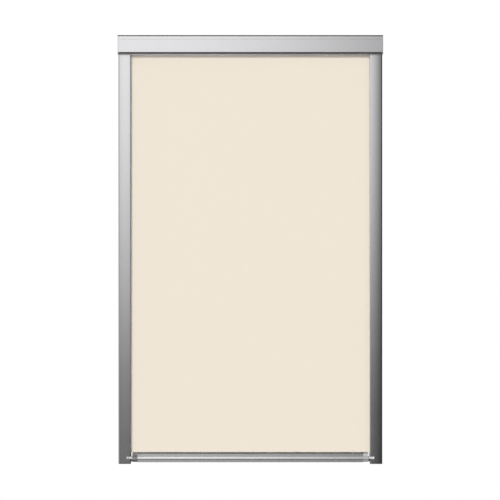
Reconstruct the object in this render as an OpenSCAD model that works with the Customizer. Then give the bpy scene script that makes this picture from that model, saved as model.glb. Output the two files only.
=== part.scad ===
// Blackout roller blind for a roof window.
// A header holds a spring roller, two side rails guide the edges of the cloth,
// and a pull bar slides in the rails on braked runners.
// Origin: middle of the bracket screws, on the sash face.
// X points to the right, Y away from the room and Z up. Lengths are in millimetres.

/* [Header] */
// Length of the header over its end caps
header_l = 612; // [420:1:1200]
// Height of the header
header_h = 43.6; // [41:0.1:56]
// Wall of the header casing
casing_wall = 1.6; // [1.2:0.1:2]
// Rounding of the casing's upper front edge
casing_top_r = 5; // [4:0.5:7]
// Height of the bevel along the casing's lower front edge
bevel_h = 4.6; // [2:0.1:5]
// Depth of the bevel
bevel_d = 2.6; // [1:0.1:2.8]
// Drop of the casing's front edge below its floor
skirt_h = 3; // [1:0.1:4]
// Thickness of the casing's front edge
skirt_t = 3.2; // [3.2:0.1:5]
// Distance of the casing's shadow line below its top
line_drop = 9.5; // [7:0.5:14]
// Depth of the casing's shadow line
line_depth = 0.3; // [0.2:0.1:0.8]
// Space behind the casing for its brackets
bracket_space = 5; // [4.8:0.1:5.6]
// Thickness of an end cap's plate
cap_t = 2.5; // [2:0.1:4]
// Drop of the cloth guide below the casing
guide_drop = 2; // [1.5:0.1:5]
// Distance of the cloth guide from the cloth
guide_gap = 7; // [6:0.5:9]

/* [Roller] */
// Outside diameter of the roller tube
tube_d = 22; // [21:0.5:24]
// Wall of the roller tube
tube_wall = 1.2; // [1:0.1:1.6]
// Room between the full roll and the casing's front
roll_room = 3.2; // [1:0.1:12]
// Rise of the roller's axis above the middle of the header
roller_rise = 2; // [1:0.1:3]
// Diameter of the spring arbor
arbor_d = 6; // [5:0.1:6.6]
// Length of the spring between its two hubs
spring_l = 190; // [120:1:220]
// Number of turns in the spring
spring_turns = 30; // [20:1:40]
// Diameter of the spring's wire
spring_wire = 1.2; // [0.8:0.1:1.3]
// Diameter of the idle pin
pin_d = 5; // [4:0.1:6]

/* [Cloth] */
// Thickness of the blackout cloth
cloth_t = 0.35; // [0.25:0.05:0.5]
// Distance of the cloth from the sash face
cloth_depth = 11.5; // [11.2:0.1:12.4]
// Turns of cloth left on the tube with the blind down
wraps = 2; // [1:1:4]
// Length of cloth edge inside each rail
cloth_tuck = 9; // [7.5:0.1:12]

/* [Rails] */
// Length of a rail with its foot
drop = 946; // [500:1:1500]
// Width of a rail's front
rail_w = 29.5; // [29:0.1:36]
// Depth of a rail from the sash face
rail_d = 24; // [23:0.1:28]
// Step from the header's end in to the rail
rail_inset = 1.2; // [0.5:0.1:4]
// Wall of the rail base
base_wall = 1.5; // [1.2:0.1:2]
// Wall of the rail cover
cover_wall = 1.6; // [1.2:0.1:2]
// Rounding of the cover's front edges
cover_r = 2.8; // [1:0.1:3.4]
// Rise of the crown across the cover's front
crown = 0.8; // [0.2:0.1:1]
// Wall between a rail's pile slots and its inner edge
edge_wall = 1.8; // [1.8:0.1:2.4]
// Width of the chamber for the fixing screws
chamber_w = 8.7; // [8.4:0.1:10]
// Height of a rail foot
foot_h = 5; // [4.5:0.5:9]
// Lean of the foot's inner edge
foot_lean = 1.2; // [0.5:0.1:2.5]
// Length of the notch in the cover that shows the runner's arm
notch_l = 11; // [8:0.5:14]

/* [Pull bar] */
// Height of the pull bar with its seal
bar_h = 24; // [23:0.5:32]
// Thickness of the bar's body
bar_t = 10.4; // [10:0.1:12]
// Wall of the bar
bar_wall = 1.3; // [1:0.1:1.6]
// Reach of the finger grip in front of the body
grip_reach = 8; // [6:0.5:8.5]
// Height of the finger grip
grip_h = 6.2; // [5.6:0.1:7]
// Height of the middle of the grip above the bar's lower edge
grip_z = 10.3; // [9.6:0.1:11]
// Rounding of the grip's nose
grip_r = 1.6; // [1:0.1:2]
// Lean of the grip's front, in degrees
grip_lean = 28; // [20:1:45]
// Height of the sloping band along the bar's top
slope_h = 4.5; // [3:0.1:5]
// Depth of the sloping band
slope_d = 4; // [2.5:0.1:4.2]
// Lean of the bar's face, from the sloping band to its lower edge
face_lean = 3; // [0.5:0.1:4]
// Gap between the bar's end and the rail
bar_gap = 2.5; // [2:0.1:4]
// Height of the bar's lower edge above the rail's
bar_lift = 3.1; // [2:0.1:5]
// Length of a bar cap along the bar
bar_cap_l = 12; // [10:0.5:16]
// Angle at which a bar cap flares forwards to its end
cap_flare = 18; // [8:1:22]
// Height of the seal that shows below the bar
seal_show = 1.5; // [1:0.1:2]
// Thickness of the joiner and the arm between bar and runner
joiner_t = 2; // [1.6:0.1:2.2]
// Height of the joiner
joiner_h = 5; // [4:0.1:6]
// Height of the runner's arm
arm_h = 6; // [4:0.1:8]
// Height of a runner above the bar's top
runner_over = 4; // [2:0.5:5]

/* [Fixings] */
// Diameter of the screw holes in rails and brackets
screw_hole_d = 4.4; // [3.5:0.1:5]
// Distance of a rail's upper and lower screws from the ends of its base
rail_screw_in = 70; // [20:1:150]
// Distance of a bracket's middle from the header's end
bracket_in = 106; // [40:1:160]
// Distance between the two screws of a bracket
bracket_screw_pitch = 27; // [25.5:0.1:29]
// Width of a bracket
bracket_w = 30; // [20:0.5:50]

/* [Hidden] */
$fn = 64;

// Clearances: pieces that are assembled, pieces that slide, and shafts that turn
fit = 0.15;
run_gap = 0.3;
shaft_gap = 0.05;
// Overlap that a union or a cut needs to be clean
bite = 1;
weld = 0.5;

// Slot for a pile strip, and the strip in it
slot_w = 5;
slot_wall = 1;
slot_h = 3;
hook_w = 0.9;
hook_t = 0.8;
pile_back_t = 0.9;
pile_w = slot_w - 2 * hook_w - 2 * fit;
pile_zone = slot_w + 2 * slot_wall;

// Roller and cloth: the roll with the blind down, and with the cloth wound up
tube_r = tube_d / 2;
bore_r = tube_r - tube_wall;
roll_r = tube_r + shaft_gap + wraps * cloth_t;
full_roll_r = sqrt(pow(roll_r, 2) + drop * cloth_t / PI);
axis_depth = cloth_depth + cloth_t / 2 + run_gap + roll_r;

// Header
half_l = header_l / 2;
header_low = -header_h / 2;
header_d = axis_depth + full_roll_r + roll_room + casing_wall;
bracket_x = half_l - bracket_in;
casing_l = header_l - 2 * cap_t;
rear_lip = 2.5;
guide_depth = cloth_depth + guide_gap;
port_r = 3;
port_bore = 1.25;
port_in = 2.6;
port_slit = 1.6;
port_z = header_h / 2 - casing_wall - port_in;
port_depths = [bracket_space + casing_wall + port_in, header_d - casing_wall - port_in];

// Ribs behind the casing that hold it to its brackets
rib_z = 9;
rib_t = 1.2;
rib_lip = 2;
rib_reach = 2.8;

// Rails
rail_out = half_l - rail_inset;
rail_in = rail_out - rail_w;
rail_top = header_low - run_gap;
rail_low = header_low - drop;
profile_low = rail_low + foot_h;
profile_l = rail_top - profile_low;
chamber_u = cover_wall + fit + base_wall;
web_u = chamber_u + chamber_w;
web_h = 14;
wall_stop = 3;
barb = 0.8;
barb_l = 1.5;
leg_t = 1.2;
track_u = web_u + base_wall;
pile_u = rail_w - edge_wall - slot_w / 2;
crown_r = (pow(rail_w / 2, 2) + pow(crown, 2)) / (2 * crown);
joiner_low = profile_low + 1;
arm_low = joiner_low + joiner_h + 0.5;
arm_top = arm_low + arm_h;
screw_u = chamber_u + (chamber_w - barb - leg_t) / 2;
rail_screw_z = (rail_top + profile_low) / 2;
rail_screw_pitch = profile_l - 2 * rail_screw_in;

// Pull bar
bar_low = rail_low + bar_lift;
bar_top = bar_low + bar_h;
bar_l = 2 * (rail_in - bar_gap);
bar_rear = cloth_depth - bar_t / 2;
bar_front = cloth_depth + bar_t / 2;
grip_slot = 3;
grip_head = 5.2;
grip_head_t = 1.2;
extrusion_l = bar_l - 2 * bar_cap_l;
key_r = 2.2;
key_slot = 1.4;
key_z = bar_h - 5;
hem_r = 1.2;
void_low = seal_show + slot_h + bar_wall;
void_top = key_z - key_r - bar_wall;
plug_l = 10;
cap_proud = 0.6;
joiner_in_runner = 3.5;
joiner_in_cap = 5;
slit_w = 1.5;
runner_low = profile_low + run_gap;
runner_top = bar_top + runner_over;
runner_in = pile_u - slot_w / 2 - slot_wall - run_gap;
runner_out = track_u + run_gap;

// Brake in a runner: a bowed leaf pushes a pad against the rail
pad_t = 1;
pad_h = 7;
leaf_t = 0.4;
leaf_sag = 1.7;
leaf_chord = runner_top - runner_low - 5;
leaf_r = (pow(leaf_chord / 2, 2) + pow(leaf_sag, 2)) / (2 * leaf_sag);
leaf_w = runner_in - runner_out - 2;
leaf_apex = base_wall + run_gap + pad_t + fit;
runner_rear = leaf_apex + leaf_sag + leaf_t + fit;
lug_t = 1.2;
lug_d = 1.2;
brake_z = (runner_low + runner_top) / 2;

// Roller ends, groove, and spring
spring_sides = 5;
spring_steps = 10;
cloth_half = rail_in + cloth_tuck;
boss_l = 8;
boss_r = 7;
boss_end = half_l - cap_t - boss_l;
flange_t = 1;
tube_end = boss_end - run_gap - flange_t;
plug_in = 24;
pocket_w = 4.6;
pocket_d = 2.4;
pocket_wall = 0.8;
pocket_mouth = 2.4;
pocket_floor = bore_r - pocket_d;
square_end = 0.7 * arbor_d;
spring_r = arbor_d / 2 + 2 + spring_wire / 2;
hub_r = (spring_r - spring_wire / 2) * cos(180 / spring_steps) - shaft_gap;
collar_r = pocket_floor - pocket_wall - run_gap;
hub_l = 8;
collar_x = tube_end - plug_in - run_gap;
spring_x = collar_x - hub_l / 2;
anchor_x = spring_x - spring_l - hub_l / 2;
anchor_l = 20;
bush_r = pin_d / 2 + 2;
bush_l = boss_l - 1;

// End cap tongue that stands in a rail
tongue_l = 15;
tongue_u = [chamber_u + run_gap, web_u - barb - leg_t - 2 * run_gap];
shelf_t = 3;
shelf_d = [bracket_space + casing_wall + rear_lip + fit, guide_depth - fit];
rim_l = 6;
rim_t = 1.5;
rim_low = -header_h / 5;

aluminium = "#c8c7c9";
grey_plastic = "#b3b2b4";
dark_plastic = "#4d4c4e";
white_plastic = "#ecebe7";
steel = "#9a9b9e";
pile_grey = "#5b5a58";
cloth = "#efe6d6";

// Placing

// Extrudes a section drawn in depth and height along X, about the middle of the blind
module along_x(l) rotate([90, 0, 90]) linear_extrude(l, center = true) mirror([1, 0]) children();

// The same, from x0 to x1
module span_x(x0, x1) translate([(x0 + x1) / 2, 0, 0]) along_x(x1 - x0) children();

// Extrudes a section of the left rail, drawn from its outer edge and in depth, upwards
module up_rail(z, l) translate([-rail_out, 0, z]) linear_extrude(l) mirror([0, 1]) children();

// Left pieces are drawn as they are, right ones are their mirror image
module on_side(side) mirror([side > 0 ? 1 : 0, 0, 0]) children();

// A round bar along X on the roller's axis
module axle(r, x0, x1) translate([x0, -axis_depth, roller_rise]) rotate([0, 90, 0])
    cylinder(r = r, h = x1 - x0);

// Sections that several pieces share

// What rounding takes off a sharp corner at p, with the body lying along the signs s
module corner_cut(p, r, s) translate(p) difference() {
    translate([s.x > 0 ? -bite : -r, s.y > 0 ? -bite : -r]) square(r + bite);
    translate([s.x * r, s.y * r]) circle(r);
}

// What a fillet adds in an inner corner at p
module corner_fill(p, r, s) translate(p) difference() {
    translate([s.x > 0 ? -weld : -r, s.y > 0 ? -weld : -r]) square(r + weld);
    translate([s.x * r, s.y * r]) circle(r);
}

module rect(a, b) translate(a) square(b - a);

// Hooked slot that holds a pile strip, on a floor at y = 0
module pile_slot() for (s = [0, 1]) mirror([s, 0]) {
    rect([slot_w / 2, -weld], [slot_w / 2 + slot_wall, slot_h]);
    rect([slot_w / 2 - hook_w, slot_h - hook_t], [slot_w / 2 + slot_wall, slot_h]);
}

// Pile strip: its stiff back in the slot, and the pile up to its reach
module pile_strip(reach) {
    rect([-slot_w / 2 + fit, fit], [slot_w / 2 - fit, fit + pile_back_t]);
    rect([-pile_w / 2, fit], [pile_w / 2, reach]);
}

// Header outline from a rear depth, taken in all round by inset
module header_outline(rear, inset) {
    low = header_low + inset;
    front = header_d - inset;
    difference() {
        rect([rear, low], [front, -low]);
        corner_cut([front, -low], max(casing_top_r - inset, fit), [-1, -1]);
        polygon([
            [front - bevel_d, low], [front, low + bevel_h], [front + bite, low + bevel_h],
            [front + bite, low - bite], [front - bevel_d, low - bite]
        ]);
    }
}

// Header pieces

// Ring for a self-tapping screw, slit towards the inside of the casing
module screw_port(depth) translate([depth, port_z]) difference() {
    circle(port_r);
    circle(port_bore);
    rotate(depth > axis_depth ? 225 : -45) translate([0, -port_slit / 2])
        square([port_r + bite, port_slit]);
}

// Hooked rib behind the casing, one of an opposed pair
module bracket_rib() {
    tip = bracket_space - rib_reach;
    rect([tip, rib_z], [bracket_space + weld, rib_z + rib_t]);
    rect([tip, rib_z - rib_lip], [tip + rib_t, rib_z + rib_t]);
}

module casing_section() {
    inner_rear = bracket_space + casing_wall;
    floor_z = header_low + skirt_h;
    difference() {
        header_outline(bracket_space, 0);
        difference() {
            header_outline(inner_rear, casing_wall);
            rect([guide_depth, header_low], [header_d, floor_z + casing_wall]);
        }
        rect([guide_depth + casing_wall, header_low - bite], [header_d - skirt_t, floor_z]);
        rect([inner_rear + rear_lip, header_low - bite], [guide_depth, floor_z + casing_wall + bite]);
        translate([header_d, header_h / 2 - line_drop]) rotate(45)
            square(line_depth * sqrt(2), center = true);
    }
    for (d = port_depths) screw_port(d);
    for (m = [0, 1]) mirror([0, m]) bracket_rib();
}

// Lip that guides the cloth out of the casing, with a slot for its pile
module guide_section() {
    low = header_low - guide_drop;
    rect([guide_depth, low], [guide_depth + casing_wall, header_low + skirt_h + casing_wall / 2]);
    translate([guide_depth, low + pile_zone / 2]) rotate(90) pile_slot();
}

guide_l = 2 * (rail_in - run_gap);

module header_casing() color(aluminium) {
    along_x(casing_l) casing_section();
    along_x(guide_l) guide_section();
}

module header_pile() color(pile_grey) along_x(guide_l)
    translate([guide_depth, header_low - guide_drop + pile_zone / 2]) rotate(90)
        pile_strip(guide_gap - cloth_t / 2 - run_gap);

screw_head_r = 2.6;
screw_head_t = 1.5;
screw_l = 12;

// Countersunk screw along X, its head flush with the left end of the header
module cap_screw(depth, r_add) translate([-half_l, -depth, port_z]) rotate([0, 90, 0]) {
    cylinder(r1 = screw_head_r + r_add, r2 = port_bore + r_add - shaft_gap, h = screw_head_t);
    cylinder(r = port_bore + r_add - shaft_gap, h = screw_l);
}

// Plate, locating rim, roller boss, and the tongue that stands in the rail
module cap_body() {
    plate_in = -half_l + cap_t;
    inner_rear = bracket_space + casing_wall + fit;
    span_x(-half_l, plate_in) header_outline(0, 0);
    span_x(plate_in - weld, plate_in + rim_l) difference() {
        header_outline(inner_rear, casing_wall + fit);
        header_outline(inner_rear + rim_t, casing_wall + fit + rim_t);
        rect([-bite, header_low - bite], [header_d + bite, rim_low]);
        for (d = port_depths) translate([d, port_z]) circle(port_r + fit);
    }
    axle(boss_r, plate_in - weld, -boss_end);
    span_x(plate_in - weld, -rail_out + tongue_u[1])
        rect([shelf_d[0], header_low], [shelf_d[1], header_low + shelf_t]);
    up_rail(header_low - tongue_l, tongue_l + weld)
        rect([tongue_u[0], shelf_d[0]], [tongue_u[1], shelf_d[1]]);
}

module left_end_cap() color(grey_plastic) difference() {
    cap_body();
    axle(bush_r + shaft_gap, -half_l + cap_t, -boss_end + bite);
    for (d = port_depths) cap_screw(d, fit);
}

module right_end_cap() color(grey_plastic) difference() {
    on_side(1) cap_body();
    translate([half_l - cap_t - boss_l / 2, -axis_depth, roller_rise])
        cube([boss_l + 2 * fit, square_end + 2 * fit, square_end + 2 * fit], center = true);
    on_side(1) for (d = port_depths) cap_screw(d, fit);
}

module end_cap_screws() color(steel) for (side = [-1, 1]) on_side(side)
    for (d = port_depths) cap_screw(d, 0);

// Clip that is screwed to the sash and hooks behind the casing's ribs
module bracket_at(x) {
    plate_t = 1.5;
    neck = rib_z - rib_lip - run_gap;
    lip_front = bracket_space - rib_reach + rib_t + fit;
    half_plate = bracket_screw_pitch / 2 + screw_hole_d;
    difference() {
        span_x(x - bracket_w / 2, x + bracket_w / 2) {
            rect([0, -half_plate], [plate_t, half_plate]);
            rect([plate_t - weld, -neck], [lip_front + weld, neck]);
            rect([lip_front, -rib_z + fit], [bracket_space - fit, rib_z - fit]);
        }
        for (s = [-1, 1]) translate([x, bite, s * bracket_screw_pitch / 2])
            rotate([90, 0, 0]) cylinder(d = screw_hole_d, h = plate_t + 2 * bite);
    }
}

module left_bracket() color(steel) bracket_at(-bracket_x);
module right_bracket() color(steel) bracket_at(bracket_x);

// Roller pieces

// Groove in the tube that holds the edge of the cloth, drawn about the tube's axis
module pocket_outline(grow) rect(
    [pocket_floor - pocket_wall - grow, -pocket_w / 2 - pocket_wall - grow],
    [tube_r - tube_wall / 2, pocket_w / 2 + pocket_wall + grow]);

module tube_section() difference() {
    union() {
        difference() {
            circle(tube_r);
            circle(bore_r);
        }
        pocket_outline(0);
    }
    rect([pocket_floor, -pocket_w / 2], [bore_r, pocket_w / 2]);
    rect([pocket_floor, -pocket_mouth / 2], [tube_r + bite, pocket_mouth / 2]);
}

// A section about the roller's axis, extruded from x0 to x1
module about_axis(x0, x1) span_x(x0, x1) translate([axis_depth, roller_rise]) children();

module roller_tube() color(aluminium) about_axis(-tube_end, tube_end) tube_section();

// Flat strip that locks the edge of the cloth in the tube's groove
module cloth_spline() color(white_plastic) about_axis(-cloth_half, cloth_half)
    rect([pocket_floor + fit, -pocket_w / 2 + fit], [bore_r - fit, pocket_w / 2 - fit]);

// The turns of cloth on the tube: two half rounds that meet in a step where the outer turn leaves them
module cloth_roll() color(cloth) about_axis(-cloth_half, cloth_half) difference() {
    union() {
        intersection() {
            translate([-cloth_t / 4, 0]) circle(roll_r - cloth_t / 4);
            rect([-tube_d, 0], [tube_d, tube_d]);
        }
        intersection() {
            translate([cloth_t / 4, 0]) circle(roll_r - 3 * cloth_t / 4);
            rect([-tube_d, -tube_d], [tube_d, 0]);
        }
    }
    circle(tube_r + shaft_gap);
}

// Plug that fills the tube's bore, notched for the groove
module plug_section() difference() {
    circle(bore_r - shaft_gap);
    pocket_outline(fit);
}

module idle_plug() color(dark_plastic) difference() {
    union() {
        about_axis(-tube_end, -tube_end + plug_in) plug_section();
        axle(tube_r, -tube_end - flange_t, -tube_end);
    }
    axle(pin_d / 2 + shaft_gap, -tube_end - bite - flange_t, -tube_end + plug_in - flange_t);
}

module idle_pin() color(steel)
    axle(pin_d / 2, -half_l + cap_t + flange_t, -tube_end + plug_in - flange_t - fit);

module idle_bush() color(white_plastic) difference() {
    axle(bush_r, -half_l + cap_t + fit, -half_l + cap_t + bush_l);
    axle(pin_d / 2 + shaft_gap, -half_l + cap_t - bite, -boss_end + bite);
}

module spring_end_plug() color(dark_plastic) difference() {
    union() {
        about_axis(tube_end - plug_in, tube_end) plug_section();
        axle(tube_r, tube_end, tube_end + flange_t);
    }
    axle(arbor_d / 2 + shaft_gap, tube_end - plug_in - bite, tube_end + flange_t + bite);
}

// Steel rod that stands still in the right end cap, with a squared end
module spring_arbor() color(steel) {
    axle(arbor_d / 2, anchor_x - anchor_l, boss_end - run_gap);
    translate([boss_end - bite, -axis_depth - square_end / 2, roller_rise - square_end / 2])
        cube([boss_l + bite - fit, square_end, square_end]);
}

// Collar fixed on the arbor, with the hub that one end of the spring grips
module arbor_collar() color(dark_plastic) difference() {
    union() {
        axle(collar_r, collar_x - hub_l / 2, collar_x);
        axle(hub_r, collar_x - hub_l, collar_x - hub_l / 2 + weld);
    }
    axle(arbor_d / 2 + shaft_gap, collar_x - hub_l - bite, collar_x + bite);
}

// Plug fixed deep in the tube, with the hub that the other end of the spring grips
module tube_anchor() color(dark_plastic) difference() {
    union() {
        about_axis(anchor_x - anchor_l, anchor_x) plug_section();
        axle(hub_r, anchor_x - weld, anchor_x + hub_l / 2);
    }
    axle(arbor_d / 2 + shaft_gap, anchor_x - anchor_l - bite, anchor_x + hub_l + bite);
}

// Centre line of the spring, and the points of its wire round that line
function coil_point(i, side) =
    let (
        turn = 360 * i / spring_steps,
        round_wire = 360 * side / spring_sides,
        coil_l = spring_x - anchor_x - 2 * spring_wire,
        x = anchor_x + spring_wire + coil_l * i / (spring_turns * spring_steps),
        r = spring_r + spring_wire / 2 * cos(round_wire)
    )
    [
        x + spring_wire / 2 * sin(round_wire),
        -axis_depth + r * cos(turn),
        roller_rise + r * sin(turn)
    ];

module torsion_spring() {
    rings = spring_turns * spring_steps;
    corners = [for (i = [0 : rings]) for (s = [0 : spring_sides - 1]) coil_point(i, s)];
    sides = [for (i = [0 : rings - 1]) for (s = [0 : spring_sides - 1]) let (
        a = i * spring_sides + s,
        b = i * spring_sides + (s + 1) % spring_sides
    ) [a, b, b + spring_sides, a + spring_sides]];
    first = [for (s = [spring_sides - 1 : -1 : 0]) s];
    last = [for (s = [0 : spring_sides - 1]) rings * spring_sides + s];
    color(steel) polyhedron(corners, concat(sides, [first, last]), convexity = 10);
}

// Cloth

// Hanging cloth: its full width down to the bar, a tail into the bar, and a hem round the rod
module cloth_sheet() color(cloth) {
    face = [cloth_depth - cloth_t / 2, cloth_depth + cloth_t / 2];
    hem_z = bar_low + key_z;
    hem_in = hem_r + shaft_gap;
    along_x(2 * cloth_half) rect([face[0], bar_top + weld], [face[1], roller_rise]);
    along_x(extrusion_l - 2 * fit) {
        rect([face[0], hem_z + hem_in + cloth_t / 2], [face[1], bar_top + bite]);
        translate([cloth_depth, hem_z]) difference() {
            circle(hem_in + cloth_t);
            circle(hem_in);
        }
    }
}

// Rail pieces

// What rounds one front edge of a crowned rail, tangent to the crown
module crown_edge_cut() {
    dip = rail_d - crown_r;
    mid_z = dip + sqrt(pow(crown_r - cover_r, 2) - pow(rail_w / 2 - cover_r, 2));
    lean = asin((rail_w / 2 - cover_r) / (crown_r - cover_r));
    difference() {
        rect([-bite, mid_z], [cover_r * (1 - sin(lean)), rail_d + bite]);
        translate([cover_r, mid_z]) circle(cover_r);
    }
}

// Whole outline of a rail: a box with a crowned front and rounded front edges
module rail_outline() difference() {
    intersection() {
        rect([0, 0], [rail_w, rail_d]);
        translate([rail_w / 2, rail_d - crown_r]) circle(crown_r, $fn = 720);
    }
    crown_edge_cut();
    translate([rail_w, 0]) mirror([1, 0]) crown_edge_cut();
}

module base_section() {
    rect([0, 0], [rail_w, base_wall]);
    rect([cover_wall + fit, 0], [chamber_u, rail_d - cover_wall - wall_stop]);
    polygon([
        [web_u, 0], [track_u, 0], [track_u, web_h],
        [web_u, web_h], [web_u - barb, web_h - barb_l], [web_u, web_h - barb_l]
    ]);
    translate([pile_u, base_wall]) pile_slot();
}

// Holes for the screws that fix a rail to the sash
module rail_base() color(aluminium) difference() {
    up_rail(profile_low, profile_l) base_section();
    for (s = [-1, 0, 1])
        translate([-rail_out + screw_u, bite, rail_screw_z + s * rail_screw_pitch / 2])
            rotate([90, 0, 0]) cylinder(d = screw_hole_d, h = base_wall + 2 * bite);
}

// Front of a rail, with the leg that snaps behind the base's web
module cover_section() {
    inner = rail_d - cover_wall;
    leg_u = web_u - barb - fit;
    catch_top = web_h - barb_l - fit;
    intersection() {
        rail_outline();
        union() {
            rect([0, inner], [rail_w, rail_d]);
            rect([0, base_wall + fit], [cover_wall, rail_d]);
            rect([rail_w - edge_wall, inner - slot_h], [rail_w, inner + weld]);
            translate([pile_u, inner]) mirror([0, 1]) pile_slot();
        }
    }
    polygon([
        [leg_u - leg_t, catch_top - barb_l], [leg_u, catch_top - barb_l], [leg_u + barb, catch_top],
        [leg_u, catch_top], [leg_u, inner + weld], [leg_u - leg_t, inner + weld]
    ]);
}

// The notch has a round end, and opens the cover where the runner's arm comes out
module rail_cover() color(aluminium) difference() {
    up_rail(profile_low, profile_l) cover_section();
    translate([-rail_in, -web_h, arm_low]) rotate([90, 0, 0]) linear_extrude(rail_d) {
        rect([-notch_l + arm_h / 2, 0], [bite, arm_h]);
        translate([-notch_l + arm_h / 2, arm_h / 2]) circle(d = arm_h);
    }
}

// End piece of a rail, with a leaning inner edge and a tongue up into the screw chamber
module rail_foot() color(grey_plastic) {
    intersection() {
        up_rail(rail_low, foot_h) rail_outline();
        translate([-rail_out, bite, rail_low]) rotate([90, 0, 0]) linear_extrude(rail_d + 2 * bite)
            polygon([[0, 0], [rail_w - foot_lean, 0], [rail_w, foot_h], [0, foot_h]]);
    }
    up_rail(profile_low - weld, tongue_l + weld)
        rect([tongue_u[0], shelf_d[0]], [tongue_u[1], shelf_d[1]]);
}

pile_reach_rear = cloth_depth - joiner_t / 2 - run_gap - base_wall;
pile_reach_front = rail_d - cover_wall - cloth_depth - joiner_t / 2 - run_gap;
front_pile_low = arm_top + fit;

module front_pile() color(pile_grey) up_rail(front_pile_low, rail_top - front_pile_low)
    translate([pile_u, rail_d - cover_wall]) mirror([0, 1]) pile_strip(pile_reach_front);

module rear_pile() color(pile_grey) up_rail(profile_low, profile_l)
    translate([pile_u, base_wall]) pile_strip(pile_reach_rear);

module left_rail_base() on_side(-1) rail_base();
module right_rail_base() on_side(1) rail_base();
module left_rail_cover() on_side(-1) rail_cover();
module right_rail_cover() on_side(1) rail_cover();
module left_rail_foot() on_side(-1) rail_foot();
module right_rail_foot() on_side(1) rail_foot();
module left_front_pile() on_side(-1) front_pile();
module right_front_pile() on_side(1) front_pile();
module left_rear_pile() on_side(-1) rear_pile();
module right_rear_pile() on_side(1) rear_pile();

// Pull bar pieces, drawn in depth and in height above the bar's lower edge

// Depth of the bar's leaning face at a height
function face_depth(z) = bar_front + face_lean * (bar_h - slope_h - z) / (bar_h - slope_h - seal_show);

// Body of the bar, made larger to the front and rear by grow
module bar_body(grow) polygon([
    [bar_rear - grow, seal_show], [face_depth(seal_show) + grow, seal_show], [bar_front + grow, bar_h - slope_h],
    [bar_front + grow - slope_d, bar_h], [bar_rear - grow, bar_h]
]);

// Finger grip in front of the bar's face: a leaning front on a round nose
module grip_nose() {
    low = grip_z - grip_h / 2;
    top = grip_z + grip_h / 2;
    middle = [bar_front + grip_reach - grip_r, low + grip_r];
    meet = middle + grip_r * [cos(grip_lean), sin(grip_lean)];
    polygon([
        [face_depth(low) + fit, low], [middle.x, low], middle, meet,
        [meet.x - (top - meet.y) * tan(grip_lean), top], [face_depth(top) + fit, top]
    ]);
    translate(middle) circle(grip_r);
}

module bar_void() polygon([
    [bar_rear + bar_wall, void_low], [face_depth(void_low) - bar_wall, void_low],
    [face_depth(void_top) - bar_wall, void_top], [bar_rear + bar_wall, void_top]
]);

module bar_section() difference() {
    bar_body(0);
    bar_void();
    rect([cloth_depth, grip_z - grip_slot / 2], [bar_front + face_lean + bite, grip_z + grip_slot / 2]);
    translate([cloth_depth, key_z]) circle(key_r);
    rect([cloth_depth - key_slot / 2, key_z], [cloth_depth + key_slot / 2, bar_h + bite]);
    rect([cloth_depth - slot_w / 2, seal_show + hook_t], [cloth_depth + slot_w / 2, seal_show + slot_h]);
    rect(
        [cloth_depth - slot_w / 2 + hook_w, seal_show - bite],
        [cloth_depth + slot_w / 2 - hook_w, seal_show + slot_h]);
}

head_front = face_depth(grip_z + grip_head / 2) - bar_wall - fit;

module on_bar() translate([0, 0, bar_low]) children();

module pull_bar() color(aluminium) on_bar() along_x(extrusion_l) bar_section();

// Finger grip that slides into the bar's front slot and is held there by its head
module grip_strip() color(aluminium) on_bar() along_x(extrusion_l) {
    grip_nose();
    rect(
        [head_front - weld, grip_z - grip_slot / 2 + fit],
        [bar_front + face_lean + bite, grip_z + grip_slot / 2 - fit]);
    rect([head_front - grip_head_t, grip_z - grip_head / 2], [head_front, grip_z + grip_head / 2]);
}

// Rod that holds the hem of the cloth in the bar's keyhole
module hem_rod() color(white_plastic) on_bar() along_x(extrusion_l - 2 * fit)
    translate([cloth_depth, key_z]) circle(hem_r);

module bar_seal() color(pile_grey) on_bar() along_x(extrusion_l)
    translate([cloth_depth, seal_show + slot_h]) mirror([0, 1]) pile_strip(slot_h + seal_show);

// Moulded end of the bar: a collar, the bar's front and grip flared forwards, and a plug into the bar's void
module bar_cap() color(grey_plastic) {
    bar_end = -extrusion_l / 2;
    plug_front = head_front - grip_head_t - fit;
    difference() {
        on_bar() {
            span_x(-bar_l / 2, bar_end) bar_body(cap_proud);
            intersection() {
                span_x(-bar_l / 2, bar_end)
                    rect([bar_rear, seal_show + fit], [bar_front + grip_reach + bar_cap_l, bar_h - fit]);
                translate([bar_end, -bar_front, 0]) rotate(cap_flare) translate([-bar_end, bar_front, 0])
                    span_x(-bar_l / 2 - grip_reach, bar_end + grip_reach) {
                        bar_body(cap_proud);
                        grip_nose();
                    }
            }
            span_x(bar_end - weld, bar_end + plug_l)
                rect([bar_rear + bar_wall + fit, void_low + fit], [plug_front, void_top - fit]);
        }
        span_x(-bar_l / 2 - bite, -bar_l / 2 + joiner_in_cap + fit) joiner_section(fit);
    }
}

// Flat tongue that joins the bar to its runner
module joiner_section(grow) rect(
    [cloth_depth - joiner_t / 2 - grow, joiner_low - grow],
    [cloth_depth + joiner_t / 2 + grow, joiner_low + joiner_h + grow]);

module joiner() color(dark_plastic)
    span_x(-rail_out + runner_in - joiner_in_runner, -bar_l / 2 + joiner_in_cap) joiner_section(0);

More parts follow.
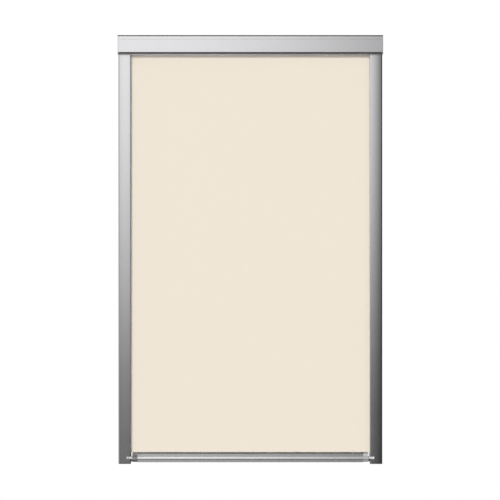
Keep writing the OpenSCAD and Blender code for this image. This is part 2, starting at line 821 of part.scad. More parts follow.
// Shoe that slides in the rail: lugs for the brake leaf, an arm out to the bar, a pocket for the
// joiner and a slit for the cloth
module runner() color(white_plastic) difference() {
    union() {
        up_rail(runner_low, runner_top - runner_low)
            rect([runner_out, runner_rear], [runner_in, rail_d - cover_wall - run_gap]);
        for (z = [runner_low, runner_top - lug_t]) up_rail(z, lug_t)
            rect([runner_out, runner_rear - lug_d], [runner_in, runner_rear + weld]);
        up_rail(arm_low, arm_h) rect(
            [runner_in - weld, cloth_depth - joiner_t / 2],
            [rail_w + bar_gap - fit, cloth_depth + joiner_t / 2]);
    }
    span_x(-rail_out + runner_in - joiner_in_runner - fit, -rail_in + bite) joiner_section(fit);
    up_rail(bar_top - weld, runner_over + weld + bite) rect(
        [runner_out - bite, cloth_depth - slit_w / 2], [runner_in + bite, cloth_depth + slit_w / 2]);
}

// Width of the brake pieces, in the middle of a runner
module brake_span() translate([-rail_out + (runner_out + runner_in) / 2, 0, 0]) along_x(leaf_w) children();

module brake_spring() color(steel) brake_span() translate([leaf_apex + leaf_r, brake_z]) intersection() {
    difference() {
        circle(leaf_r);
        circle(leaf_r - leaf_t);
    }
    rect([-leaf_r - bite, -leaf_chord / 2], [-leaf_r / 2, leaf_chord / 2]);
}

module brake_pad() color(pile_grey) brake_span()
    rect([base_wall + run_gap, brake_z - pad_h / 2], [base_wall + run_gap + pad_t, brake_z + pad_h / 2]);

module left_bar_cap() on_side(-1) bar_cap();
module right_bar_cap() on_side(1) bar_cap();
module left_joiner() on_side(-1) joiner();
module right_joiner() on_side(1) joiner();
module left_runner() on_side(-1) runner();
module right_runner() on_side(1) runner();
module left_brake_spring() on_side(-1) brake_spring();
module right_brake_spring() on_side(1) brake_spring();
module left_brake_pad() on_side(-1) brake_pad();
module right_brake_pad() on_side(1) brake_pad();

header_casing();
left_end_cap();
right_end_cap();
end_cap_screws();
header_pile();
left_bracket();
right_bracket();
idle_bush();
spring_arbor();
arbor_collar();
roller_tube();
cloth_roll();
cloth_spline();
idle_plug();
idle_pin();
spring_end_plug();
tube_anchor();
torsion_spring();
left_rail_base();
right_rail_base();
left_rail_cover();
right_rail_cover();
left_rail_foot();
right_rail_foot();
left_front_pile();
right_front_pile();
left_rear_pile();
right_rear_pile();
cloth_sheet();
pull_bar();
grip_strip();
hem_rod();
bar_seal();
left_bar_cap();
right_bar_cap();
left_joiner();
right_joiner();
left_runner();
right_runner();
left_brake_spring();
right_brake_spring();
left_brake_pad();
right_brake_pad();
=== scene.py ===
"""Blackout roller blind for a roof window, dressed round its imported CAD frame.

Objects are in metres: X to the right, Y into the sash, Z up. The blind's own sizes and sections are given in
millimetres, and its depths are measured from the sash face.
"""
import math

import bmesh
import bpy
from mathutils import Matrix, Vector


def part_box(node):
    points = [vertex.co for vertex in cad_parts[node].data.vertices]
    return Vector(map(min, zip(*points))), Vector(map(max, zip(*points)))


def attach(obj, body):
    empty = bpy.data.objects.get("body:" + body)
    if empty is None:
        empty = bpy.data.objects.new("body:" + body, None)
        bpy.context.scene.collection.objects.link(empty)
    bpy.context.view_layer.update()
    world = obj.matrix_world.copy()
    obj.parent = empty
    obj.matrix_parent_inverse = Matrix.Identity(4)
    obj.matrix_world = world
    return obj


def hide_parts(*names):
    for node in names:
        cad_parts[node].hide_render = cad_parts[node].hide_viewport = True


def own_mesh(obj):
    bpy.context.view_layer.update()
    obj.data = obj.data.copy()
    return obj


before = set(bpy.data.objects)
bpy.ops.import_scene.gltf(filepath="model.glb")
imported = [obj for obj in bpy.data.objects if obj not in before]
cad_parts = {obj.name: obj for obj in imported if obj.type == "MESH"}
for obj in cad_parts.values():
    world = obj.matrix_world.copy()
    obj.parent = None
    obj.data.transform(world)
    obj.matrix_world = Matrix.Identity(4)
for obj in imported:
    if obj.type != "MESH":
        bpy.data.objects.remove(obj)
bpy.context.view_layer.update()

scene = bpy.context.scene
MM = 0.001
SIDES = ((-1, "left"), (1, "right"))


def limits(node):
    """The lowest and highest corner of a CAD node, in millimetres."""
    low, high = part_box(node)
    return [c / MM for c in low], [c / MM for c in high]


# Sizes in millimetres, and the grip's lean in degrees, as in the part's source

FIT, RUN_GAP = 0.15, 0.3

# Header
CASING_LOW, CASING_HIGH = limits("header_casing")
CASING_HALF = CASING_HIGH[0]
HEADER_D = -CASING_LOW[1]
HEADER_TOP = CASING_HIGH[2]
HEADER_BOTTOM = -HEADER_TOP
LIP_BOTTOM = CASING_LOW[2]
CASING_WALL, CASING_TOP_R = 1.6, 5.0
LINE_DROP, LINE_DEPTH = 9.5, 0.3
BEVEL_H, BEVEL_D = 4.6, 2.6
SKIRT_H, SKIRT_T = 3.0, 3.2
REAR_LIP, BRACKET_SPACE = 2.5, 5.0
RIB_Z, RIB_T, RIB_LIP, RIB_REACH = 9.0, 1.2, 2.0, 2.8
PORT_IN = 2.6
SCREW_HEAD_R, SCREW_HEAD_T, SCREW_L = 2.6, 1.5, 12.0

# Cloth and roller
CLOTH_DEPTH, CLOTH_T, GUIDE_GAP = 11.5, 0.35, 7.0
GUIDE_DEPTH = CLOTH_DEPTH + GUIDE_GAP
HEM_R = 1.2
ARBOR_R = 3.0
AXIS_DEPTH = -limits("spring_arbor")[0][1] - ARBOR_R
AXIS_Z = 2.0
SPRING_TURNS, SPRING_R, SPRING_WIRE = 30.0, 5.6, 1.2

# Pile slots
SLOT_W, SLOT_WALL, SLOT_H, HOOK_W, HOOK_T = 5.0, 1.0, 3.0, 0.9, 0.8
PILE_BACK_T = 0.9

# Rails
RAIL_OUT, RAIL_W, RAIL_D = 304.8, 29.5, 24.0
RAIL_IN = RAIL_OUT - RAIL_W
COVER_LOW, COVER_HIGH = limits("left_rail_cover")
COVER_WALL, COVER_R, CROWN, EDGE_WALL = 1.6, 2.8, 0.8, 1.8
PILE_U = RAIL_W - EDGE_WALL - SLOT_W / 2
BASE_WALL, CHAMBER_W, WEB_H = 1.5, 8.7, 14.0
LEG_T, BARB, BARB_L = 1.2, 0.8, 1.5
NOTCH_L, ARM_H, ARM_GAP = 11.0, 6.0, 0.5

# Pull bar
BAR_LOW = limits("bar_seal")[0][2]
BAR_HALF = limits("pull_bar")[1][0]
BAR_REAR, BAR_FRONT, BAR_H, BAR_WALL = 6.3, 16.7, 24.0, 1.3
BAR_TOP = BAR_LOW + BAR_H
SLOPE_H, SLOPE_D, FACE_LEAN, SEAL_SHOW = 4.5, 4.0, 3.0, 1.5
SLOPE_Z = BAR_H - SLOPE_H
KEY_Z, KEY_R, KEY_SLOT = 19.0, 2.2, 1.4
GRIP_Z, GRIP_H, GRIP_REACH, GRIP_R, GRIP_LEAN = 10.3, 6.2, 8.0, 1.6, 28
GRIP_SLOT, GRIP_HEAD, GRIP_HEAD_T = 3.0, 5.2, 1.2


# Node trees and baking

def add(tree, kind, inputs=None, **settings):
    """One node with its settings.

    inputs maps a socket's name or number to a value or to another node's output.
    """
    node = tree.nodes.new(kind)
    for name, value in settings.items():
        setattr(node, name, value)
    for key, value in (inputs or {}).items():
        if isinstance(value, bpy.types.NodeSocket):
            tree.links.new(value, node.inputs[key])
        else:
            node.inputs[key].default_value = value
    return node


def geometry_tree(name, sockets):
    """An empty Geometry Nodes tree with named inputs, and its input and output nodes."""
    tree = bpy.data.node_groups.new(name, "GeometryNodeTree")
    tree.interface.new_socket("Geometry", in_out="INPUT", socket_type="NodeSocketGeometry")
    for label, kind in sockets.items():
        tree.interface.new_socket(label, in_out="INPUT", socket_type="NodeSocket" + kind)
    tree.interface.new_socket("Geometry", in_out="OUTPUT", socket_type="NodeSocketGeometry")
    return tree, add(tree, "NodeGroupInput").outputs, add(tree, "NodeGroupOutput").inputs["Geometry"]


def finish_tree(tree, geometry, material, out):
    """Ends a tree in plain geometry with its finish."""
    real = add(tree, "GeometryNodeRealizeInstances", {"Geometry": geometry})
    coated = add(tree, "GeometryNodeSetMaterial", {"Geometry": real.outputs[0], "Material": material})
    tree.links.new(coated.outputs[0], out)


def evaluated_mesh(obj):
    """The mesh of an object with its modifiers applied; the object itself is removed."""
    bpy.context.view_layer.update()
    mesh = bpy.data.meshes.new_from_object(obj.evaluated_get(bpy.context.evaluated_depsgraph_get()))
    bpy.data.objects.remove(obj)
    return mesh


def placed(name, data):
    """A new object in the scene, at the origin."""
    obj = bpy.data.objects.new(name, data)
    scene.collection.objects.link(obj)
    return obj


def grown(tree, name, base=None, **values):
    """The plain mesh that a Geometry Nodes tree makes from a base mesh and its named inputs."""
    host = placed(name, base or bpy.data.meshes.new(name))
    modifier = host.modifiers.new(name, "NODES")
    modifier.node_group = tree
    for item in tree.interface.items_tree:
        if item.in_out == "INPUT" and item.name in values:
            modifier[item.identifier] = values[item.name]
    return evaluated_mesh(host)


def even_shading(mesh, angle=40):
    """Smooth over soft edges, flat on flat faces."""
    host = placed(mesh.name, mesh)
    mesh.shade_smooth()
    mesh.set_sharp_from_angle(angle=math.radians(angle))
    weighted = host.modifiers.new("even", "WEIGHTED_NORMAL")
    weighted.keep_sharp = True
    return evaluated_mesh(host)


def outward(mesh, matrix=None):
    """Moves the mesh into place, merges its doubles and turns its faces outwards."""
    bm = bmesh.new()
    bm.from_mesh(mesh)
    if matrix:
        bm.transform(matrix)
    bmesh.ops.remove_doubles(bm, verts=bm.verts, dist=1e-7)
    bmesh.ops.recalc_face_normals(bm, faces=bm.faces)
    bm.to_mesh(mesh)
    bm.free()
    return mesh


def joined(name, *meshes):
    """One mesh of several, each face with its own finish."""
    bm = bmesh.new()
    materials = []
    for mesh in meshes:
        first = len(bm.faces)
        bm.from_mesh(mesh)
        bm.faces.ensure_lookup_table()
        for face in bm.faces[first:]:
            finish = mesh.materials[face.material_index]
            if finish not in materials:
                materials.append(finish)
            face.material_index = materials.index(finish)
    whole = bpy.data.meshes.new(name)
    for finish in materials:
        whole.materials.append(finish)
    bm.to_mesh(whole)
    bm.free()
    return whole


def cut_out(mesh, *cutters):
    """The mesh with each cutter's volume taken out."""
    host = placed(mesh.name, mesh)
    tools = [placed("cutter", c) for c in cutters]
    for tool in tools:
        modifier = host.modifiers.new("cut", "BOOLEAN")
        modifier.operation = "DIFFERENCE"
        modifier.solver = "EXACT"
        modifier.object = tool
    result = evaluated_mesh(host)
    for tool in tools:
        bpy.data.objects.remove(tool)
    return result


def piece(name, mesh, body, slot, *nodes):
    """A finished piece that rides on a body and stands for CAD nodes."""
    obj = placed(name, mesh)
    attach(obj, body)
    if nodes:
        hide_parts(*nodes)
    return obj


# Finishes

def linear(hex_colour):
    """An sRGB hex value as linear red, green, blue and alpha."""
    parts = [int(hex_colour[i:i + 2], 16) / 255 for i in (1, 3, 5)]
    return [c / 12.92 if c <= 0.04045 else ((c + 0.055) / 1.055) ** 2.4 for c in parts] + [1.0]


def shader(name, **sockets):
    """A new material with its Principled shader's own sockets set."""
    material = bpy.data.materials.new(name)
    material.use_nodes = True
    tree = material.node_tree
    principled = tree.nodes["Principled BSDF"]
    for socket, value in sockets.items():
        principled.inputs[socket.replace("_", " ")].default_value = value
    return material, tree, principled


def varied(tree, principled, pattern, dark, light, roughness=None):
    """Lets the colour, and the roughness where a range is given, follow a pattern from 0 to 1."""
    # Sockets 6 and 7 are the two colours
    tint = add(tree, "ShaderNodeMix", {
        "Factor": pattern, 6: linear(dark), 7: linear(light)}, data_type="RGBA")
    tree.links.new(tint.outputs[2], principled.inputs["Base Color"])
    if roughness:
        low, high = roughness
        gloss = add(tree, "ShaderNodeMapRange", {"Value": pattern, "To Min": low, "To Max": high})
        tree.links.new(gloss.outputs["Result"], principled.inputs["Roughness"])


def anodised_aluminium(name, along, rough, metallic=1.0):
    """Extruded, etched and clear anodised: a soft sheen, with faint die lines along the extrusion."""
    material, tree, principled = shader(name, Metallic=metallic)
    place = add(tree, "ShaderNodeTexCoord").outputs["Object"]
    # Die lines are about 0.2 mm apart and run on for 150 mm; drawn 0.5 mm apart so that they show close up
    line_scale = [1 / (0.5 * MM)] * 3
    line_scale["XYZ".index(along)] = 1 / (150 * MM)
    stretched = add(tree, "ShaderNodeMapping", {"Vector": place, "Scale": line_scale}).outputs[0]
    lines = add(tree, "ShaderNodeTexNoise", {"Vector": stretched, "Scale": 1.0, "Detail": 2.0}).outputs["Fac"]
    # Etching leaves clouds about 40 mm across
    clouds = add(tree, "ShaderNodeTexNoise", {"Vector": place, "Scale": 1 / (40 * MM), "Detail": 3.0})
    both = add(tree, "ShaderNodeMath", {0: lines, 1: clouds.outputs["Fac"]}, operation="ADD").outputs[0]
    half = add(tree, "ShaderNodeMath", {0: both, 1: 0.5}, operation="MULTIPLY").outputs[0]
    varied(tree, principled, half, "#dad9db", "#e6e5e7", (rough - 0.05, rough + 0.05))
    bump = add(tree, "ShaderNodeBump", {"Height": lines, "Strength": 0.06, "Distance": 0.02 * MM})
    tree.links.new(bump.outputs[0], principled.inputs["Normal"])
    return material


def moulded_plastic(name, dark, light, grain_mm, rough, **sockets):
    """Injection moulded: an even colour, a fine spark-eroded grain and slightly uneven gloss."""
    material, tree, principled = shader(name, **sockets)
    place = add(tree, "ShaderNodeTexCoord").outputs["Object"]
    grain = add(tree, "ShaderNodeTexNoise", {"Vector": place, "Scale": 1 / (grain_mm * MM), "Detail": 2.0})
    # The plastic's flow in the mould shows over about 18 mm
    flow = add(tree, "ShaderNodeTexNoise", {"Vector": place, "Scale": 1 / (18 * MM), "Detail": 2.0})
    varied(tree, principled, flow.outputs["Fac"], dark, light, (rough - 0.05, rough + 0.05))
    bump = add(tree, "ShaderNodeBump", {
        "Height": grain.outputs["Fac"], "Strength": 0.15, "Distance": 0.03 * MM})
    tree.links.new(bump.outputs[0], principled.inputs["Normal"])
    return material


def plated_steel(name, dark, light, rough):
    """Cold-formed steel, zinc plated or oiled: bright, with faint blotches from the bath."""
    material, tree, principled = shader(name, Metallic=1.0)
    place = add(tree, "ShaderNodeTexCoord").outputs["Object"]
    # Blotches are about 6 mm across
    blotch = add(tree, "ShaderNodeTexNoise", {"Vector": place, "Scale": 1 / (6 * MM), "Detail": 4.0})
    varied(tree, principled, blotch.outputs["Fac"], dark, light, (rough - 0.06, rough + 0.1))
    return material


def pile_fibre(name, dark, light):
    """Brush pile of polypropylene yarn, or felt: dull, each tuft a little lighter or darker."""
    material, tree, principled = shader(name, Roughness=0.85, Sheen_Weight=0.3, Sheen_Roughness=0.5)
    place = add(tree, "ShaderNodeTexCoord").outputs["Object"]
    # Tufts are about 1.5 mm across
    tufts = add(tree, "ShaderNodeTexNoise", {"Vector": place, "Scale": 1 / (1.5 * MM), "Detail": 1.0})
    varied(tree, principled, tufts.outputs["Fac"], dark, light)
    return material


def woven_cloth(name, dark, light, relief, rough):
    """Plain-weave polyester: matt, with slubs along its threads.

    A coating fills the weave and leaves it fainter.
    """
    material, tree, principled = shader(name, Roughness=rough, Specular_IOR_Level=0.25, Sheen_Weight=0.06)
    place = add(tree, "ShaderNodeTexCoord").outputs["Object"]
    # Threads are 0.3 mm apart; drawn 0.7 mm apart so that the weave shows close up
    threads = add(tree, "ShaderNodeMapping", {"Vector": place, "Scale": [1 / (0.7 * MM)] * 3}).outputs[0]
    apart = add(tree, "ShaderNodeSeparateXYZ", {"Vector": threads}).outputs
    rounds = []
    for axis in ("X", "Z"):
        turn = add(tree, "ShaderNodeMath", {0: apart[axis], 1: math.pi}, operation="MULTIPLY").outputs[0]
        wave = add(tree, "ShaderNodeMath", {0: turn}, operation="SINE").outputs[0]
        rounds.append(add(tree, "ShaderNodeMath", {0: wave}, operation="ABSOLUTE").outputs[0])
    over = add(tree, "ShaderNodeTexChecker", {"Vector": threads, "Scale": 1.0}).outputs["Fac"]
    weave = add(tree, "ShaderNodeMix", {"Factor": over, "A": rounds[0], "B": rounds[1]}, data_type="FLOAT")
    # Slubs: thicker stretches of thread, about 25 mm long
    thread, slub = 1 / (0.9 * MM), 1 / (25 * MM)
    slubs = []
    for scale in ((thread, 1, slub), (slub, 1, thread)):
        run = add(tree, "ShaderNodeMapping", {"Vector": place, "Scale": scale}).outputs[0]
        noise = add(tree, "ShaderNodeTexNoise", {"Vector": run, "Scale": 1.0, "Detail": 1.0})
        slubs.append(noise.outputs["Fac"])
    both = add(tree, "ShaderNodeMath", {0: slubs[0], 1: slubs[1]}, operation="ADD").outputs[0]
    half = add(tree, "ShaderNodeMath", {0: both, 1: 0.5}, operation="MULTIPLY").outputs[0]
    varied(tree, principled, half, dark, light)
    bump = add(tree, "ShaderNodeBump", {
        "Height": weave.outputs[0], "Strength": relief, "Distance": 0.05 * MM})
    tree.links.new(bump.outputs[0], principled.inputs["Normal"])
    return material


ALUMINIUM_X = anodised_aluminium("anodised_aluminium_lengthways", along="X", rough=0.25)
ALUMINIUM_Z = anodised_aluminium("anodised_aluminium_upright", along="Z", rough=0.25)
# The bar and its grip are a little duller
MATT_ALUMINIUM = anodised_aluminium("matt_anodised_aluminium", along="X", rough=0.27, metallic=0.97)
# Silver lacquer holds flakes of metal, so it shines as metal does
LACQUERED_ABS = moulded_plastic(
    "silver_lacquered_ABS", "#d6d5d7", "#dedddf", grain_mm=0.5, rough=0.25, Metallic=1.0)
DARK_ACETAL = moulded_plastic("dark_acetal", "#343335", "#403f41", grain_mm=0.4, rough=0.42)
# White acetal lets a little light in
WHITE_ACETAL = moulded_plastic(
    "white_acetal", "#f4f4f0", "#fafaf7", grain_mm=0.4, rough=0.36, Subsurface_Weight=0.05)
ZINC_STEEL = plated_steel("zinc_plated_steel", "#a9abae", "#c3c4c6", rough=0.32)
SPRING_STEEL = plated_steel("oiled_spring_steel", "#55565a", "#74757a", rough=0.34)
GREY_PILE = pile_fibre("grey_polypropylene_pile", "#53524f", "#7a7975")
BROWN_FELT = pile_fibre("pressed_wool_felt", "#4b4743", "#625d57")
CLOTH_FRONT = woven_cloth("woven_cream_polyester", "#ece2d2", "#f3e9da", relief=0.3, rough=0.92)
CLOTH_BACK = woven_cloth("white_acrylic_coating", "#ebeae6", "#f2f1ee", relief=0.12, rough=0.7)


# Sections of the extrusions

def rounded(corners, default=0.25, step=15):
    """A closed outline of (x, y) points from corners (x, y) or (x, y, radius), each rounded.

    A corner without a radius has the default one, and an arc's points are at most step degrees apart.
    """
    nearly_straight, used_share = math.radians(175), 0.98
    points = [Vector(corner[:2]) for corner in corners]
    count = len(points)
    sides = [(points[i - 1] - points[i], points[(i + 1) % count] - points[i]) for i in range(count)]
    wanted = []
    for corner, (before, after) in zip(corners, sides):
        radius = corner[2] if len(corner) > 2 else default
        angle = before.angle(after)
        wanted.append(0.0 if angle > nearly_straight else radius / math.tan(angle / 2))
    outline = []
    for i, here in enumerate(points):
        before, after = sides[i]
        reach = wanted[i]
        if reach == 0:
            outline.append(tuple(here))
            continue
        # Neighbouring rounds share the side between them
        for length, other in ((before.length, wanted[i - 1]), (after.length, wanted[(i + 1) % count])):
            reach = min(reach, used_share * length * wanted[i] / (wanted[i] + other))
        angle = before.angle(after)
        radius = reach * math.tan(angle / 2)
        inwards = (before.normalized() + after.normalized()).normalized()
        middle = here + inwards * (radius / math.sin(angle / 2))
        first = here + before.normalized() * reach - middle
        last = here + after.normalized() * reach - middle
        sweep = first.angle_signed(last)
        steps = max(2, math.ceil(abs(math.degrees(sweep)) / step))
        for k in range(steps + 1):
            turn = -sweep * k / steps
            outline.append((
                middle.x + first.x * math.cos(turn) - first.y * math.sin(turn),
                middle.y + first.x * math.sin(turn) + first.y * math.cos(turn)))
    return outline


def hooks(side):
    """Corners of a pile slot's inside about its middle, from one lip to the other.

    side is 1 or -1, for the way that the slot opens.
    """
    half, lip = SLOT_W / 2, SLOT_W / 2 - HOOK_W
    edge, ledge = side * SLOT_H, side * (SLOT_H - HOOK_T)
    return [
        (lip, edge), (lip, ledge), (half, ledge), (half, 0.0),
        (-half, 0.0), (-half, ledge), (-lip, ledge), (-lip, edge)]


def casing_outline():
    """Header casing in depth and height.

    It is open below for the cloth, and has a shadow line, a bevel and bracket ribs.
    """
    rear, inner = BRACKET_SPACE, BRACKET_SPACE + CASING_WALL
    top, low, recess = HEADER_TOP, HEADER_BOTTOM, HEADER_BOTTOM + SKIRT_H
    front, lip = HEADER_D - CASING_WALL, GUIDE_DEPTH + CASING_WALL
    line, skirt = top - LINE_DROP, HEADER_D - SKIRT_T
    tip, outside, end = rear - RIB_REACH, RIB_Z + RIB_T, RIB_Z - RIB_LIP
    rib = [
        (rear, outside), (tip, outside), (tip, end), (tip + RIB_T, end), (tip + RIB_T, RIB_Z), (rear, RIB_Z)]
    return rounded([
        (rear, low), *[(d, -z) for d, z in rib], *reversed(rib),
        (rear, top), (HEADER_D, top, CASING_TOP_R), (HEADER_D, line + LINE_DEPTH, 0.1),
        (HEADER_D - LINE_DEPTH, line, 0.05), (HEADER_D, line - LINE_DEPTH, 0.1),
        (HEADER_D, low + BEVEL_H, 0.4), (HEADER_D - BEVEL_D, low, 0.2),
        (skirt, low, 0.1), (skirt, recess), (lip, recess), (lip, low, 0),
        (GUIDE_DEPTH, low, 0), (GUIDE_DEPTH, recess + CASING_WALL), (front, recess + CASING_WALL, 1.0),
        (front, top - CASING_WALL, CASING_TOP_R - CASING_WALL), (inner, top - CASING_WALL),
        (inner, low + CASING_WALL), (inner + REAR_LIP, low + CASING_WALL), (inner + REAR_LIP, low)])


def lip_outline():
    """Lip that guides the cloth, with its pile slot open to the rear."""
    edge = SLOT_W / 2 + SLOT_WALL
    middle = LIP_BOTTOM + edge
    front, inside, rear = GUIDE_DEPTH + CASING_WALL, GUIDE_DEPTH + CASING_WALL / 2, GUIDE_DEPTH - SLOT_H
    slot = [(GUIDE_DEPTH - y, middle + x) for x, y in hooks(1)]
    return rounded([
        (front, middle - edge, 0.4), (front, HEADER_BOTTOM, 0), (inside, HEADER_BOTTOM, 0),
        (inside, middle + edge), (rear, middle + edge), *slot, (rear, middle - edge)])


def cover_outline():
    """Rail cover from the rail's outer edge and in depth.

    It has a crowned front, an outer wall, a clip leg and a pile slot.
    """
    inner, half, edge = RAIL_D - COVER_WALL, RAIL_W / 2, RAIL_D - CROWN
    crown_r = (half ** 2 + CROWN ** 2) / (2 * CROWN)
    between_rounds = range(math.ceil(COVER_R) + 1, math.floor(RAIL_W - COVER_R))
    crown = [(u, RAIL_D - crown_r + math.sqrt(crown_r ** 2 - (u - half) ** 2), 0) for u in between_rounds]
    slot = [(PILE_U + x, inner + y) for x, y in hooks(-1)]
    slot_end = PILE_U - SLOT_W / 2 - SLOT_WALL
    wall_end = BASE_WALL + FIT
    web_u = COVER_WALL + FIT + BASE_WALL + CHAMBER_W
    leg_out = web_u - FIT - BARB
    leg_in = leg_out - LEG_T
    barb_rise = WEB_H - FIT - BARB_L
    leg_end = barb_rise - BARB_L
    return rounded([
        (0, wall_end), (0, edge, COVER_R), *crown, (RAIL_W, edge, COVER_R), (RAIL_W, inner - SLOT_H),
        *slot, (slot_end, inner - SLOT_H), (slot_end, inner),
        (leg_out, inner), (leg_out, barb_rise), (leg_out + BARB, barb_rise), (leg_out, leg_end),
        (leg_in, leg_end), (leg_in, inner), (COVER_WALL, inner), (COVER_WALL, wall_end)], step=8)


def face_depth(z):
    """Depth of the bar's leaning face at a height above its lower edge."""
    return BAR_FRONT + FACE_LEAN * (SLOPE_Z - z) / (SLOPE_Z - SEAL_SHOW)


def bar_outline():
    """Pull bar in depth and in height above its lower edge.

    It has a keyhole for the hem, a slot for the grip, a void, and a slot for the seal.
    """
    # The keyhole's round runs from one side of its mouth to the other
    key = [(CLOTH_DEPTH + KEY_R * math.sin(a), KEY_Z + KEY_R * math.cos(a), 0)
           for a in map(math.radians, range(-25, -336, -15))]
    mouth_rise = 2.1
    key_mouth = KEY_Z + mouth_rise
    key_rear, key_front = CLOTH_DEPTH - KEY_SLOT / 2, CLOTH_DEPTH + KEY_SLOT / 2
    seal = [(CLOTH_DEPTH + x, SEAL_SHOW + SLOT_H + y) for x, y in hooks(-1)]
    slot_low, slot_top = GRIP_Z - GRIP_SLOT / 2, GRIP_Z + GRIP_SLOT / 2
    void_low, void_top = SEAL_SHOW + SLOT_H + BAR_WALL, KEY_Z - KEY_R - BAR_WALL
    inside = BAR_REAR + BAR_WALL

    def behind(z):
        """Depth of the front wall's inner face."""
        return face_depth(z) - BAR_WALL

    return rounded([
        (BAR_REAR, SEAL_SHOW, 0.5), (BAR_REAR, BAR_H, 0.6), (key_rear, BAR_H), (key_rear, key_mouth, 0),
        *key, (key_front, key_mouth, 0), (key_front, BAR_H, 0.1),
        (BAR_FRONT - SLOPE_D, BAR_H, 0.15), (BAR_FRONT, SLOPE_Z, 0.3),
        (face_depth(slot_top), slot_top), (behind(slot_top), slot_top), (behind(void_top), void_top),
        (inside, void_top), (inside, void_low), (behind(void_low), void_low), (behind(slot_low), slot_low),
        (face_depth(slot_low), slot_low), (face_depth(SEAL_SHOW), SEAL_SHOW, 0.5), *seal])


def grip_outline():
    """Finger grip: a leaning front on a round nose, with the head that holds it in the bar's slot."""
    low, top, lean = GRIP_Z - GRIP_H / 2, GRIP_Z + GRIP_H / 2, math.radians(GRIP_LEAN)
    neck_low, neck_top = GRIP_Z - GRIP_SLOT / 2 + FIT, GRIP_Z + GRIP_SLOT / 2 - FIT
    head_low, head_top = GRIP_Z - GRIP_HEAD / 2, GRIP_Z + GRIP_HEAD / 2
    head = face_depth(head_top) - BAR_WALL - FIT

    def front(z):
        """Depth of the grip's leaning front, carried on past its nose."""
        rise = z - low - GRIP_R
        return BAR_FRONT + GRIP_REACH - GRIP_R + (GRIP_R - rise * math.sin(lean)) / math.cos(lean)

    def rear(z):
        """Depth of the grip's back, clear of the bar's face."""
        return face_depth(z) + FIT

    return rounded([
        (rear(low), low, 0.3), (front(low), low, GRIP_R), (front(top), top, 0.5), (rear(top), top, 0.3),
        (rear(neck_top), neck_top), (head, neck_top), (head, head_top),
        (head - GRIP_HEAD_T, head_top), (head - GRIP_HEAD_T, head_low),
        (head, head_low), (head, neck_low), (rear(neck_low), neck_low)], step=8)


def hem_outline():
    """Tail of the cloth that hangs in the bar's keyhole, with the loop round its rod."""
    above_bar, above_key, above_loop, rod_slack = 0.4, 3.6, 0.25, 0.05
    half = CLOTH_T / 2
    loop = HEM_R + rod_slack + half
    path = [(0.0, BAR_H + above_bar), (0.0, KEY_Z + above_key), (0.0, KEY_Z + loop + above_loop)]
    for angle in map(math.radians, range(12, 350, 13)):
        path.append((loop * math.sin(angle), KEY_Z + loop * math.cos(angle)))
    left, right = [], []
    for i, point in enumerate(path):
        ahead = Vector(path[min(i + 1, len(path) - 1)]) - Vector(path[max(i - 1, 0)])
        side = Vector((-ahead.y, ahead.x)).normalized() * half
        left.append((CLOTH_DEPTH + point[0] + side.x, point[1] + side.y))
        right.append((CLOTH_DEPTH + point[0] - side.x, point[1] - side.y))
    return left + right[::-1]


# Extruding

EXTRUSION, inputs, output = geometry_tree(
    "extruded_section", {"Section": "Object", "Length": "Float", "Finish": "Material"})
path_end = add(EXTRUSION, "ShaderNodeCombineXYZ", {"Z": inputs["Length"]})
path = add(EXTRUSION, "GeometryNodeCurvePrimitiveLine", {"End": path_end.outputs[0]})
section = add(EXTRUSION, "GeometryNodeObjectInfo", {"Object": inputs["Section"]})
swept = add(EXTRUSION, "GeometryNodeCurveToMesh", {
    "Curve": path.outputs[0], "Profile Curve": section.outputs["Geometry"], "Fill Caps": True})
finish_tree(EXTRUSION, swept.outputs[0], inputs["Finish"], output)

# Turns the extrusion's own X, Y, Z into the blind's Y, Z, X
LENGTHWAYS = Matrix(((0, 0, 1, 0), (1, 0, 0, 0), (0, 1, 0, 0), (0, 0, 0, 1)))


def extruded(name, outline, length, finish, matrix):
    """A closed extrusion of an outline in millimetres, moved into place."""
    curve = bpy.data.curves.new(name, "CURVE")
    curve.dimensions = "2D"
    curve.fill_mode = "NONE"
    spline = curve.splines.new("POLY")
    spline.points.add(len(outline) - 1)
    for point, (x, y) in zip(spline.points, outline):
        point.co = (x * MM, y * MM, 0, 1)
    spline.use_cyclic_u = True
    holder = placed(name + "_section", curve)
    mesh = grown(EXTRUSION, name, Section=holder, Length=length * MM, Finish=finish)
    bpy.data.objects.remove(holder)
    mesh.name = name
    return outward(mesh, matrix)


def lengthways(name, outline, start, end, finish, z=0.0):
    """Extrudes a section drawn in depth and height from start to end along X."""
    shift = Matrix.Translation((start * MM, 0, z * MM))
    return extruded(name, [(-d, h) for d, h in outline], end - start, finish, shift @ LENGTHWAYS)


def upright(name, outline, side, start, end, finish):
    """Extrudes a section drawn from a rail's outer edge and in depth from start to end along Z."""
    shift = Matrix.Translation((0, 0, start * MM))
    return extruded(name, [(side * (RAIL_OUT - u), -d) for u, d in outline], end - start, finish, shift)


lip_half = RAIL_IN - RUN_GAP
casing = lengthways("casing", casing_outline(), -CASING_HALF, CASING_HALF, ALUMINIUM_X)
lip = lengthways("lip", lip_outline(), -lip_half, lip_half, ALUMINIUM_X)
header = even_shading(joined("header_shell", casing, lip))
piece("header_shell", header, "frame", "satin_aluminium", "header_casing")

